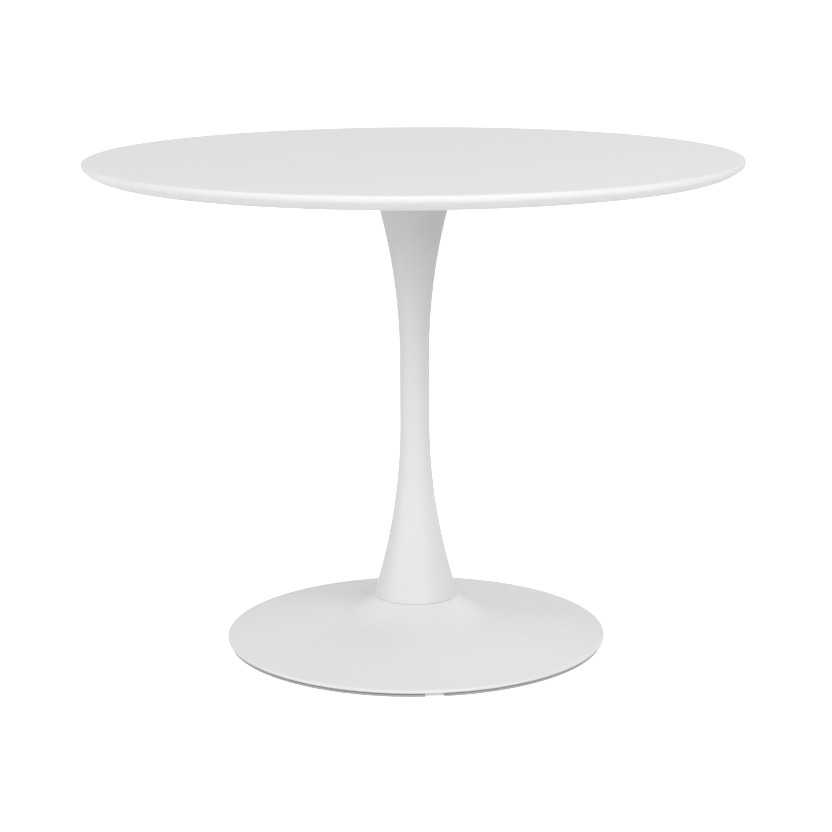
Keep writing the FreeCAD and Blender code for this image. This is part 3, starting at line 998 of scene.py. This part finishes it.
@dataclass
class Studio:
    """Pale floor, a ring of soft lights and the camera.

    Attributes:
        floor_radius: Radius of the floor.
        floor_facets: Number of facets round it.
        floor_tone: How much light the floor gives back.
        floor_roughness: Roughness of the floor.
        floor_specular: Strength of its gloss.
        floor_lift: Brightness added to the floor where it is seen, so that only deep shade shows on it.
        lift_start: Distance from the middle up to which that brightness holds.
        lift_full: Distance from the middle from which the floor looks white in any light.
        white: How bright the surround looks.
        sky: Strength of the even light from all round.
        film_width: Width of the camera's sensor in millimetres.
        focal_length: Focal length of the lens in millimetres.
        camera_place: Where the camera stands.
        camera_pitch: Downward tilt in degrees.
        camera_yaw: Turn about the upright axis in degrees.
        camera_roll: Turn about the line of sight in degrees.
        aim_height: Height of the point that the lights face.
        light_distance: Distance of the lights from it.
        light_side: Length of a light's side.
        lights: The soft lights.
    """

    floor_radius: float = 60.0
    floor_facets: int = 96
    floor_tone: float = 0.93
    floor_roughness: float = 0.9
    floor_specular: float = 0.1
    floor_lift: float = 0.55
    lift_start: float = 0.4
    lift_full: float = 0.9
    white: float = 1.02
    sky: float = 0.44
    film_width: float = 36.0
    focal_length: float = 99.45
    camera_place: tuple[float, float, float] = (0.0, -3.49, 1.118)
    camera_pitch: float = 12.3
    camera_yaw: float = -0.03
    camera_roll: float = -0.32
    aim_height: float = 0.45
    light_distance: float = 5.0
    light_side: float = 3.0
    lights: tuple[Softbox, ...] = (
        Softbox("front", 0.0, 30.0, 45.0),
        Softbox("key", 30.0, 30.0, 115.0),
        Softbox("back_right", 140.0, 30.0, 60.0),
        Softbox("back", 180.0, 30.0, 20.0),
        Softbox("back_left", -140.0, 30.0, 25.0),
        Softbox("left", -100.0, 30.0, 25.0),
        Softbox("front_left", -65.0, 15.0, 65.0),
    )

    def floor_finish(self) -> bpy.types.Material:
        """Build the floor's material: it looks pale from above and can be looked through from below.

        Returns:
            The material.
        """
        made = bpy.data.materials.new("pale_floor")
        made.use_nodes = True
        nodes, links = made.node_tree.nodes, made.node_tree.links
        shader = nodes["Principled BSDF"]
        shader.inputs["Base Color"].default_value = (*grey(self.floor_tone), 1.0)
        shader.inputs["Roughness"].default_value = self.floor_roughness
        shader.inputs["Specular IOR Level"].default_value = self.floor_specular
        shader.inputs["Emission Color"].default_value = (*grey(1.0), 1.0)
        place = nodes.new("ShaderNodeTexCoord")
        reach = nodes.new("ShaderNodeVectorMath")
        reach.operation = "LENGTH"
        ramp = nodes.new("ShaderNodeMapRange")
        ramp.inputs["From Min"].default_value = self.lift_start
        ramp.inputs["From Max"].default_value = self.lift_full
        ramp.inputs["To Min"].default_value = self.floor_lift
        seen = nodes.new("ShaderNodeLightPath")
        lift = nodes.new("ShaderNodeMath")
        lift.operation = "MULTIPLY"
        links.new(place.outputs["Object"], reach.inputs[0])
        links.new(reach.outputs["Value"], ramp.inputs["Value"])
        links.new(ramp.outputs["Result"], lift.inputs[0])
        links.new(seen.outputs["Is Camera Ray"], lift.inputs[1])
        links.new(lift.outputs["Value"], shader.inputs["Emission Strength"])
        side = nodes.new("ShaderNodeNewGeometry")
        under = nodes.new("ShaderNodeMath")
        under.operation = "MULTIPLY"
        clear = nodes.new("ShaderNodeBsdfTransparent")
        either = nodes.new("ShaderNodeMixShader")
        links.new(side.outputs["Backfacing"], under.inputs[0])
        links.new(seen.outputs["Is Camera Ray"], under.inputs[1])
        links.new(under.outputs["Value"], either.inputs["Fac"])
        links.new(shader.outputs["BSDF"], either.inputs[1])
        links.new(clear.outputs["BSDF"], either.inputs[2])
        links.new(either.outputs["Shader"], nodes["Material Output"].inputs["Surface"])
        return made

    def floor(self) -> None:
        """Lay the floor."""
        mesh = bmesh.new()
        bmesh.ops.create_circle(mesh, cap_ends=True, segments=self.floor_facets, radius=self.floor_radius)
        laid = as_object(mesh, "studio_floor")
        laid.data.materials.append(self.floor_finish())

    def surround(self) -> None:
        """Light the scene evenly from all round, and make what lies beyond the floor look white."""
        world = bpy.data.worlds.new("studio_surround")
        world.use_nodes = True
        nodes, links = world.node_tree.nodes, world.node_tree.links
        light = nodes["Background"]
        light.inputs["Color"].default_value = (*grey(1.0), 1.0)
        light.inputs["Strength"].default_value = self.sky
        seen = nodes.new("ShaderNodeLightPath")
        white = nodes.new("ShaderNodeBackground")
        white.inputs["Color"].default_value = (*grey(1.0), 1.0)
        white.inputs["Strength"].default_value = self.white
        mix = nodes.new("ShaderNodeMixShader")
        links.new(seen.outputs["Is Camera Ray"], mix.inputs["Fac"])
        links.new(light.outputs["Background"], mix.inputs[1])
        links.new(white.outputs["Background"], mix.inputs[2])
        links.new(mix.outputs["Shader"], nodes["World Output"].inputs["Surface"])
        bpy.context.scene.world = world

    def camera(self) -> None:
        """Set up the camera."""
        data = bpy.data.cameras.new("view")
        data.sensor_width = self.film_width
        data.lens = self.focal_length
        data.clip_end = 2 * self.floor_radius
        seat = bpy.data.objects.new("view", data)
        yaw = Matrix.Rotation(math.radians(self.camera_yaw), 4, "Z")
        tilt = Matrix.Rotation(math.radians(90.0 - self.camera_pitch), 4, "X")
        roll = Matrix.Rotation(math.radians(self.camera_roll), 4, "Z")
        seat.matrix_world = Matrix.Translation(self.camera_place) @ yaw @ tilt @ roll
        bpy.context.scene.collection.objects.link(seat)
        bpy.context.scene.camera = seat

    def build(self) -> None:
        """Build the floor, the lights and the camera."""
        self.floor()
        self.surround()
        aim = Vector((0.0, 0.0, self.aim_height))
        for light in self.lights:
            light.hang(aim, self.light_distance, self.light_side)
        self.camera()
        bpy.context.scene.view_settings.view_transform = "Standard"


def main() -> None:
    """Build the table round the frame and set up the studio."""
    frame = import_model()
    paint = Paintbox()
    TableTop(paint).build()
    Column(paint).build()
    Foot(paint).build()
    Hardware(paint, nodes=frame["nodes"]).build()
    Studio().build()


if __name__ == "__main__":
    logging.basicConfig(level=logging.INFO, format="%(name)s: %(message)s")
    main()
